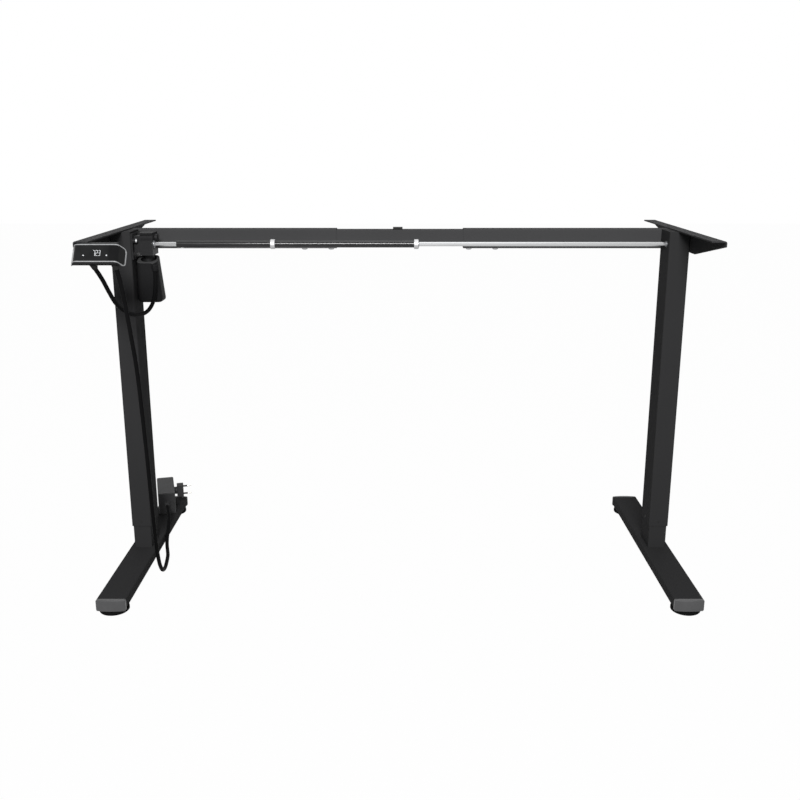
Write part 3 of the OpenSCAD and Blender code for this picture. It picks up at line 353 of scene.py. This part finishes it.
# Lead screws, bevel gears and worm wheel: rolled and sintered steel with a film of oil.
oiled, oiled_shader, oiled_place = new_material("oiled_steel", Metallic=1.0)
oil_film = oiled_place.noise(240.0, 3.0)
feed(oiled_shader, "Base Color", oil_film.colours((0.30, 0.31, 0.32), (0.44, 0.45, 0.46)))
feed(oiled_shader, "Roughness", 0.28 + oil_film * 0.18)
dress(oiled, "left_lead_screw", "right_lead_screw", "left_bevel_gear", "right_bevel_gear",
      "left_bevel_pinion", "right_bevel_pinion", "worm_wheel")

# Inner tubes: the legs that slide out of the columns, in the same coat.
dress(coat, "left_inner_tube", "right_inner_tube")

# Nuts of the lead screws: machined from white acetal.
acetal, acetal_shader, acetal_place = new_material("white_acetal")
acetal_cloud = acetal_place.noise(120.0)
feed(acetal_shader, "Base Color", acetal_cloud.colours((0.70, 0.68, 0.60), (0.78, 0.76, 0.69)))
feed(acetal_shader, "Roughness", 0.38 + acetal_cloud * 0.14)
dress(acetal, "left_screw_nut", "right_screw_nut")

# Feet: flat steel tubes, in the same coat as the columns.
dress(coat, "left_foot_beam", "right_foot_beam")

# Foot caps: moulded plugs that close both ends of a foot, with a satin skin that takes
# a soft highlight.
moulded, moulded_shader, moulded_place = new_material("moulded_black", Specular_IOR_Level=0.02)
moulded_grain = moulded_place.noise(2200.0, 2.0)
moulded_cloud = moulded_place.noise(30.0)
feed(moulded_shader, "Base Color",
     moulded_cloud.colours((0.011, 0.011, 0.0115), (0.018, 0.018, 0.0186)))
feed(moulded_shader, "Roughness", 0.4 + moulded_grain * 0.18)
bump(moulded_shader, moulded_grain, 0.00006)
skin, skin_shader, skin_place = new_material("satin_black", Specular_IOR_Level=0.3)
skin_cloud = skin_place.noise(40.0, 3.0)
feed(skin_shader, "Base Color", skin_cloud.colours((0.050, 0.050, 0.0515), (0.072, 0.072, 0.074)))
feed(skin_shader, "Roughness", 0.3 + skin_cloud * 0.12)
bump(skin_shader, skin_place.noise(1700.0), 0.00005)
dress(skin, "left_foot_caps", "right_foot_caps")


# Levelling glides: round moulded pads on threaded studs, screwed up into the foot
# caps. All four are one turned shape.
def turned(name, start, axis, outline, sides=48):
    """Draws a disc out along an axis, through pairs of distance and radius in millimetres."""
    axis = Vector(axis).normalized()
    start = Vector(start)
    distance, radius = outline[0]
    bpy.ops.object.select_all(action="DESELECT")
    bpy.ops.mesh.primitive_circle_add(
        vertices=sides, radius=radius / 1000, fill_type="NGON",
        location=(start + axis * distance) / 1000, rotation=axis.to_track_quat("Z", "Y").to_euler())
    made = bpy.context.object
    made.name = name
    bpy.ops.object.transform_apply(location=True, rotation=True, scale=True)
    bpy.ops.object.mode_set(mode="EDIT")
    bpy.ops.mesh.select_all(action="SELECT")
    for ahead, wide in outline[1:]:
        bpy.ops.mesh.extrude_region_move(
            TRANSFORM_OT_translate={"value": axis * (ahead - distance) / 1000})
        bpy.ops.transform.resize(value=(wide / radius,) * 3,
                                 center_override=(start + axis * ahead) / 1000)
        distance, radius = ahead, wide
    bpy.ops.mesh.select_all(action="SELECT")
    bpy.ops.mesh.normals_make_consistent(inside=False)
    bpy.ops.object.mode_set(mode="OBJECT")
    bpy.ops.object.shade_smooth_by_angle(angle=math.radians(32))
    return made


def settle(piece, body, slot, material, *replaced):
    """Gives a finished piece its material, its body and the CAD pieces that it stands for."""
    if material:
        piece.data.materials.clear()
        piece.data.materials.append(material)
    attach(piece, body)
    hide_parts(*replaced)


soft, soft_shader, soft_place = new_material("glide_rubber", Specular_IOR_Level=0.01)
soft_cloud = soft_place.noise(90.0)
feed(soft_shader, "Base Color",
     soft_cloud.colours((0.0035, 0.0035, 0.0036), (0.008, 0.008, 0.0082)))
feed(soft_shader, "Roughness", 0.5 + soft_cloud * 0.2)
glide_outline = [(0, 27.2), (0.5, 28.2), (1.5, 29), (6, 29), (7, 28.7), (7.6, 27.9), (7.8, 26.8),
                 (7.8, 12.4), (8.3, 11.3), (9, 11), (10.6, 11), (10.6, 4)]
for turn in range(15):
    glide_outline += [(10.8 + turn * 1.25, 4), (11.4 + turn * 1.25, 3.6)]
column_x, glide_y = 566.3, 259.5
for side, x in (("left", -column_x), ("right", column_x)):
    for end, y in (("front", -glide_y), ("rear", glide_y)):
        name = "%s_%s_glide" % (side, end)
        settle(turned(name + "_pad", (x, y, 0), (0, 0, 1), glide_outline), name,
               "black_plastic", soft, name)

# Hex rod and stub: drawn bright steel bar that carries the turn of the motor to both
# columns.
drawn, drawn_shader, drawn_place = new_material("drawn_bar", Metallic=1.0)
drawn_lines = drawn_place.stretched(5.0, 900.0, 900.0).noise(1.0, 2.0)
feed(drawn_shader, "Base Color", drawn_lines.colours((0.38, 0.385, 0.39), (0.52, 0.525, 0.53)))
feed(drawn_shader, "Roughness", 0.2 + drawn_lines * 0.18)
dress(drawn, "hex_rod", "hex_stub")

# Drive tube: a steel tube in gloss black enamel that both hex bars run in.
enamel, enamel_shader, enamel_place = new_material(
    "gloss_black_enamel", Specular_IOR_Level=0.15, Coat_Roughness=0.12)
enamel_cloud = enamel_place.noise(40.0, 2.0)
feed(enamel_shader, "Base Color",
     enamel_cloud.colours((0.010, 0.010, 0.0105), (0.016, 0.016, 0.0165)))
feed(enamel_shader, "Roughness", 0.2 + enamel_cloud * 0.1)
feed(enamel_shader, "Coat Weight", 0.15 + enamel_cloud * 0.2)
dress(enamel, "drive_tube")
dress(zinc, "tube_set_screw")


# Shaft collars: turned from pale alloy with a bevel at each end, bored for the tube,
# with a set screw hole at the back.
def carve(piece, tool):
    """Cuts a tool out of a piece and throws the tool away."""
    bpy.ops.object.select_all(action="DESELECT")
    piece.select_set(True)
    bpy.context.view_layer.objects.active = piece
    cut = piece.modifiers.new("cut", "BOOLEAN")
    cut.object = tool
    cut.solver = "EXACT"
    bpy.ops.object.modifier_apply(modifier=cut.name)
    bpy.data.objects.remove(tool)
    bpy.ops.object.shade_smooth_by_angle(angle=math.radians(32))


def join(name, first, *others):
    """Joins pieces into one object."""
    bpy.ops.object.select_all(action="DESELECT")
    for piece in (first, *others):
        piece.select_set(True)
    bpy.context.view_layer.objects.active = first
    bpy.ops.object.join()
    first.name = name
    return first


turned_alloy, turned_shader, turned_place = new_material("turned_alloy", Metallic=0.85)
turned_lines = turned_place.stretched(2600.0, 30.0, 30.0).noise(1.0, 2.0)
feed(turned_shader, "Base Color", turned_lines.colours((0.42, 0.42, 0.425), (0.52, 0.52, 0.525)))
feed(turned_shader, "Roughness", 0.4 + turned_lines * 0.16)
drive_y, drive_z = -11, 694.1
collars = []
for x in (-265.1, 28.7):
    collar = turned("collar", (x, drive_y, drive_z), (1, 0, 0),
                    [(0, 9.0), (0.9, 9.9), (8.5, 9.9), (9.4, 9.0)], 64)
    carve(collar, turned("bore", (x, drive_y, drive_z), (1, 0, 0), [(-1, 7.05), (10.4, 7.05)]))
    carve(collar, turned("screw_hole", (x + 4.7, drive_y, drive_z), (0, 1, 0.4),
                         [(5, 1.6), (12, 1.6)], 24))
    collars.append(collar)
settle(join("shaft_collars", *collars), "left_drive", "collar_alloy", turned_alloy, "tube_collars")

# Gearbox: a blackened die casting screwed to the column through its flange and ears,
# under a flat moulded lid.
casting, casting_shader, casting_place = new_material(
    "blackened_casting", Metallic=0.3, Specular_IOR_Level=0.08)
casting_grain = casting_place.noise(800.0, 4.0)
feed(casting_shader, "Base Color",
     casting_grain.colours((0.010, 0.010, 0.0105), (0.024, 0.024, 0.025)))
feed(casting_shader, "Roughness", 0.4 + casting_grain * 0.14)
bump(casting_shader, casting_grain, 0.00018)
dress(casting, "gearbox_housing")
dress(moulded, "gearbox_lid")
dress(zinc, "gearbox_screws")

# Motor: an enamelled steel can round a copper winding. Only the top of the can shows,
# down in the cover's well.
dress(enamel, "motor_case")
copper, copper_shader, copper_place = new_material("varnished_copper", Metallic=1.0)
copper_strands = copper_place.stretched(300.0, 300.0, 2400.0).noise(1.0, 2.0)
feed(copper_shader, "Base Color", copper_strands.colours((0.45, 0.2, 0.09), (0.66, 0.33, 0.17)))
feed(copper_shader, "Roughness", 0.3 + copper_strands * 0.16)
bump(copper_shader, copper_strands, 0.0003)
dress(copper, "motor_rotor")


# Motor cover: a moulded tapered box with rounded corners, a top that slopes down to the
# front round a deep well, and the socket that the motor cable plugs into.
def box_at(name, low, high):
    """A block between two corners in millimetres."""
    bpy.ops.object.select_all(action="DESELECT")
    bpy.ops.mesh.primitive_cube_add(
        size=1.0, location=[(a + b) / 2000 for a, b in zip(low, high)],
        scale=[(b - a) / 1000 for a, b in zip(low, high)])
    made = bpy.context.object
    made.name = name
    bpy.ops.object.transform_apply(location=True, rotation=True, scale=True)
    return made


def pick(piece, kind, test):
    """Opens a piece in edit mode with those edges or faces selected whose middle passes a test."""
    bpy.ops.object.select_all(action="DESELECT")
    piece.select_set(True)
    bpy.context.view_layer.objects.active = piece
    bpy.ops.object.mode_set(mode="EDIT")
    bpy.ops.mesh.select_mode(type=kind)
    bpy.ops.mesh.select_all(action="DESELECT")
    bpy.ops.object.mode_set(mode="OBJECT")
    mesh = piece.data
    for item in mesh.edges if kind == "EDGE" else mesh.polygons:
        corners = [mesh.vertices[i].co for i in item.vertices]
        item.select = bool(test(sum(corners, Vector()) * 1000 / len(corners), corners))
    bpy.ops.object.mode_set(mode="EDIT")


def round_off(piece, test, width, steps):
    """Rounds the edges that pass a test."""
    pick(piece, "EDGE", test)
    bpy.ops.mesh.bevel(offset=width / 1000, segments=steps, affect="EDGES")
    bpy.ops.object.mode_set(mode="OBJECT")
    bpy.ops.object.shade_smooth_by_angle(angle=math.radians(32))


def turn_to(piece, place, angle):
    """Turns a piece that is drawn round the origin about the upright and moves it to its place."""
    bpy.ops.object.select_all(action="DESELECT")
    piece.select_set(True)
    bpy.context.view_layer.objects.active = piece
    piece.rotation_euler = (0.0, 0.0, math.radians(angle))
    piece.location = Vector(place) / 1000
    bpy.ops.object.transform_apply(location=True, rotation=True, scale=True)
    return piece


def is_upright(middle, corners):
    """Test for round_off: the edge climbs more than 2 mm."""
    return abs(corners[0].z - corners[-1].z) > 0.002


motor_place = (-521, 6.7, 0)
socket_turn = -56
cover_floor, cover_top, cover_back = 574, 668.3, 27.3
cover_slope = 16.0
cover = box_at("motor_cover_box", (-544.8, -17, cover_floor), (-493.3, 30.4, cover_top))
pick(cover, "FACE", lambda middle, corners: middle.z > cover_top - 1)
bpy.ops.transform.resize(value=(41.7 / 51.5, 41.2 / 47.4, 1.0),
                         center_override=(-0.51905, 0.0067, cover_top / 1000))
bpy.ops.transform.translate(value=(-0.0034, 0.0, 0.0))
bpy.ops.object.mode_set(mode="OBJECT")
round_off(cover, is_upright, 11.5, 8)
round_off(cover, lambda middle, corners: middle.z < cover_floor + 0.5, 7.0, 5)
slope = box_at("slope", (-560, -60, cover_top), (-480, 40, cover_top + 31.7))
slope_edge = Vector((0.0, cover_back, cover_top)) / 1000
for corner in slope.data.vertices:
    corner.co -= slope_edge
slope.location = slope_edge
slope.rotation_euler = (math.radians(cover_slope), 0.0, 0.0)
carve(cover, slope)
round_off(cover, lambda middle, corners: middle.z > 656, 1.2, 3)
carve(cover, turned("well", motor_place, (0, 0, 1), [(654.8, 16.4), (669, 16.4)], 64))
socket = box_at("socket", (19, -4.5, 644.6), (27.2, 4.5, 655.6))
round_off(socket, lambda middle, corners: middle.x > 26.7, 0.8, 2)
turn_to(socket, motor_place, socket_turn)
cover_skin, cover_shader, cover_place = new_material("cover_black", Specular_IOR_Level=0.02)
cover_cloud = cover_place.noise(30.0)
slope_rise = math.tan(math.radians(cover_slope))
# Painted light: the sloping top round the well is coloured lighter than the sides, as if lit from
# above; it is also a little smoother.
painted_light_top = (cover_place.part("Z") + cover_place.part("Y") * -slope_rise).above(0.6596, 0.0003)
feed(cover_shader, "Base Color", (cover_cloud * 0.1 + painted_light_top * 0.9).colours(
    (0.010, 0.010, 0.0105), (0.052, 0.052, 0.053)))
feed(cover_shader, "Roughness", 0.46 - painted_light_top * 0.12)
bump(cover_shader, cover_place.noise(2200.0, 2.0), 0.00006)
settle(join("motor_cover_shell", cover, socket), "left_frame", "black_plastic", cover_skin,
       "motor_cover")

# Plug of the motor cable: a small moulded plug with finger ribs.
plug = box_at("cable_plug", (27.2, -4.5, 640.6), (36.2, 4.5, 653.6))
round_off(plug, lambda middle, corners: True, 1.0, 2)
for level in (643.5, 646, 648.5):
    carve(plug, box_at("rib", (35.6, -5, level), (37.2, 5, level + 1.1)))
turn_to(plug, motor_place, socket_turn)
settle(plug, "left_frame", "black_plastic", moulded, "motor_cable_plug")

# Handset: a moulded housing with two wings and a flange, screwed up into the desktop,
# with tapered rubber boots where its cables leave.
dress(moulded, "handset_housing")
dress(rubber, "cable_boots")
lacquered, lacquered_shader, lacquered_place = new_material("circuit_board")
lacquer_cloud = lacquered_place.noise(400.0)
feed(lacquered_shader, "Base Color", lacquer_cloud.colours((0.015, 0.10, 0.04), (0.03, 0.17, 0.07)))
feed(lacquered_shader, "Roughness", 0.34 + lacquer_cloud * 0.14)
dress(lacquered, "handset_board")

# Front panel: one gloss black sheet bent over both wings, in a satin plated trim. Its
# inner wing is less glossy.
gloss, gloss_shader, gloss_place = new_material(
    "gloss_panel", Specular_IOR_Level=0.08, Coat_Roughness=0.05)
gloss_cloud = gloss_place.noise(60.0)
wing = gloss_place.part("X").above(-0.5195, 0.004)
feed(gloss_shader, "Base Color",
     gloss_cloud.colours((0.003, 0.003, 0.0032), (0.008, 0.008, 0.0084)))
feed(gloss_shader, "Roughness", 0.1 + gloss_cloud * 0.06)
feed(gloss_shader, "Coat Weight", (1.0 - wing) * (0.13 + gloss_cloud * 0.16))
dress(gloss, "handset_panel")
satin, satin_shader, satin_place = new_material("satin_plating", Metallic=1.0)
satin_cloud = satin_place.noise(300.0)
feed(satin_shader, "Base Color", satin_cloud.colours((0.27, 0.275, 0.28), (0.36, 0.365, 0.37)))
feed(satin_shader, "Roughness", 0.3 + satin_cloud * 0.12)
dress(satin, "handset_trim")

# Display and touch marks: pale bars behind the panel, drawn as thin inlays: the height
# as a number, and an arrow on each side of it.
SEGMENTS = {"7": "abc", "2": "abged", "3": "abgcd"}
inlays = []
for i, digit in enumerate("723"):
    left, top, wide, tall, bold = i * 4.7 - 4.4, -12.2, 3.8, 11.0, 0.68
    bars = {"a": (0, 0, wide, bold), "g": (0, (tall - bold) / 2, wide, bold),
            "d": (0, tall - bold, wide, bold), "b": (wide - bold, 0, bold, tall / 2),
            "e": (0, tall / 2, bold, tall / 2), "c": (wide - bold, tall / 2, bold, tall / 2)}
    for letter in SEGMENTS[digit]:
        x, down, w, h = bars[letter]
        inlay = box_at("bar", (left + x, -0.15, top - down - h), (left + x + w, 0.2, top - down))
        round_off(inlay, lambda middle, corners: abs(corners[0].y - corners[1].y) > 0.0002, 0.25, 2)
        inlays.append(inlay)
marks_low = -22.3
for x, direction in ((-21.3, 1), (20.3, -1)):
    arrow = turned("arrow", (x, -0.15, marks_low), (0, 1, 0), [(0, 2.1), (0.35, 2.1)], 3)
    pick(arrow, "FACE", lambda middle, corners: True)
    bpy.ops.transform.resize(value=(1.0, 1.0, 0.8 * direction),
                             center_override=(x / 1000, 0.0, marks_low / 1000))
    bpy.ops.mesh.normals_make_consistent(inside=False)
    bpy.ops.object.mode_set(mode="OBJECT")
    inlays.append(arrow)
marks = join("display_marks", *inlays)
marks.rotation_euler = (math.radians(-34.2), 0.0, 0.0)
marks.location = (-0.5424, -0.262, 0.7199)
bpy.ops.object.transform_apply(location=True, rotation=True, scale=True)
pale, pale_shader, pale_place = new_material("display_white", Emission_Strength=0.12)
pale_cloud = pale_place.noise(500.0)
feed(pale_shader, "Base Color", pale_cloud.colours((0.46, 0.47, 0.48), (0.56, 0.57, 0.58)))
feed(pale_shader, "Roughness", 0.5 + pale_cloud * 0.1)
pale_shader.inputs["Emission Color"].default_value = (0.8, 0.82, 0.85, 1.0)
marks.data.materials.clear()
marks.data.materials.append(pale)
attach(marks, "left_frame")

# Power supply: two moulded half shells with a fine seam, a round gland with a ribbed
# strain relief in front and the round neck that its plug turns on.
grained, grained_shader, grained_place = new_material("grained_black", Specular_IOR_Level=0.15)
fine_grain = grained_place.noise(950.0, 3.0)
feed(grained_shader, "Base Color", fine_grain.colours((0.022, 0.022, 0.023), (0.036, 0.036, 0.037)))
feed(grained_shader, "Roughness", 0.44 + fine_grain * 0.16)
bump(grained_shader, fine_grain, 0.00022)
supply_place = (-573.3, 217.9, 32)
supply_turn = 15
seam, gland_rise, plug_rise = 27.3, 29, 38
halves = []
for low, high in ((0, seam), (seam, 53.5)):
    half = box_at("half_shell", (-20, -59, low), (20, 59, high))
    round_off(half, is_upright, 4.0, 6)
    round_off(half, lambda middle, corners: abs(middle.z - seam) > 1
              and not is_upright(middle, corners), 1.8, 4)
    round_off(half, lambda middle, corners: abs(middle.z - seam) < 0.1, 0.4, 1)
    halves.append(half)
gland = turned("gland", (0, 0, gland_rise), (0, -1, 0),
               [(58, 6.5), (61.4, 6.5), (62, 6.0), (62, 5.6)])
relief_outline = [(61, 5.5)]
for rib in range(7):
    start, wide = 62 + rib * 2.8, 5.6 - rib * 0.14
    relief_outline += [(start, wide), (start + 1.7, wide),
                       (start + 1.9, wide - 0.7), (start + 2.6, wide - 0.7)]
relief_outline += [(81.6, 4.6), (82, 4.3)]
relief = turned("strain_relief", (0, 0, gland_rise), (0, -1, 0), relief_outline)
neck = turned("plug_neck", (0, 0, plug_rise), (1, 0, 0),
              [(19, 9), (22, 9), (22.3, 8.6), (23, 8.6), (23.3, 9), (26.4, 9)])
supply = turn_to(join("power_supply_case", *halves, gland, relief, neck), supply_place, supply_turn)
settle(supply, "left_leg", "supply_black", grained, "power_supply")

# Mains plug: a moulded head with two round pins, bare nickel at the tips and sleeved
# at the roots.
head = box_at("plug_head", (26.4, -7.5, 21), (41.8, 7.5, 55))
round_off(head, lambda middle, corners: abs(corners[0].x - corners[1].x) > 0.002, 4.0, 6)
round_off(head, lambda middle, corners: middle.x > 41.7 or middle.x < 26.5, 0.9, 3)
pin_heights = (plug_rise - 9.5, plug_rise + 9.5)
pins = [turned("sleeve", (0, 0, height), (1, 0, 0), [(41, 2), (51.3, 2), (51.6, 1.8)], 32)
        for height in pin_heights]
plug_head = turn_to(join("plug_head_and_sleeves", head, *pins), supply_place, supply_turn)
plug_head.data.materials.clear()
plug_head.data.materials.append(grained)
nickel, nickel_shader, nickel_place = new_material("bare_nickel", Metallic=1.0)
nickel_cloud = nickel_place.noise(500.0)
feed(nickel_shader, "Base Color", nickel_cloud.colours((0.66, 0.65, 0.62), (0.80, 0.79, 0.76)))
feed(nickel_shader, "Roughness", 0.2 + nickel_cloud * 0.12)
tips = [turned("tip", (0, 0, height), (1, 0, 0),
               [(51, 1.9), (59, 1.9), (60, 1.65), (60.6, 1.15), (60.8, 0.5)], 32)
        for height in pin_heights]
tips = turn_to(join("pin_tips", *tips), supply_place, supply_turn)
tips.data.materials.clear()
tips.data.materials.append(nickel)
settle(join("mains_plug_head", plug_head, tips), "left_leg", "supply_black", None, "mains_plug")
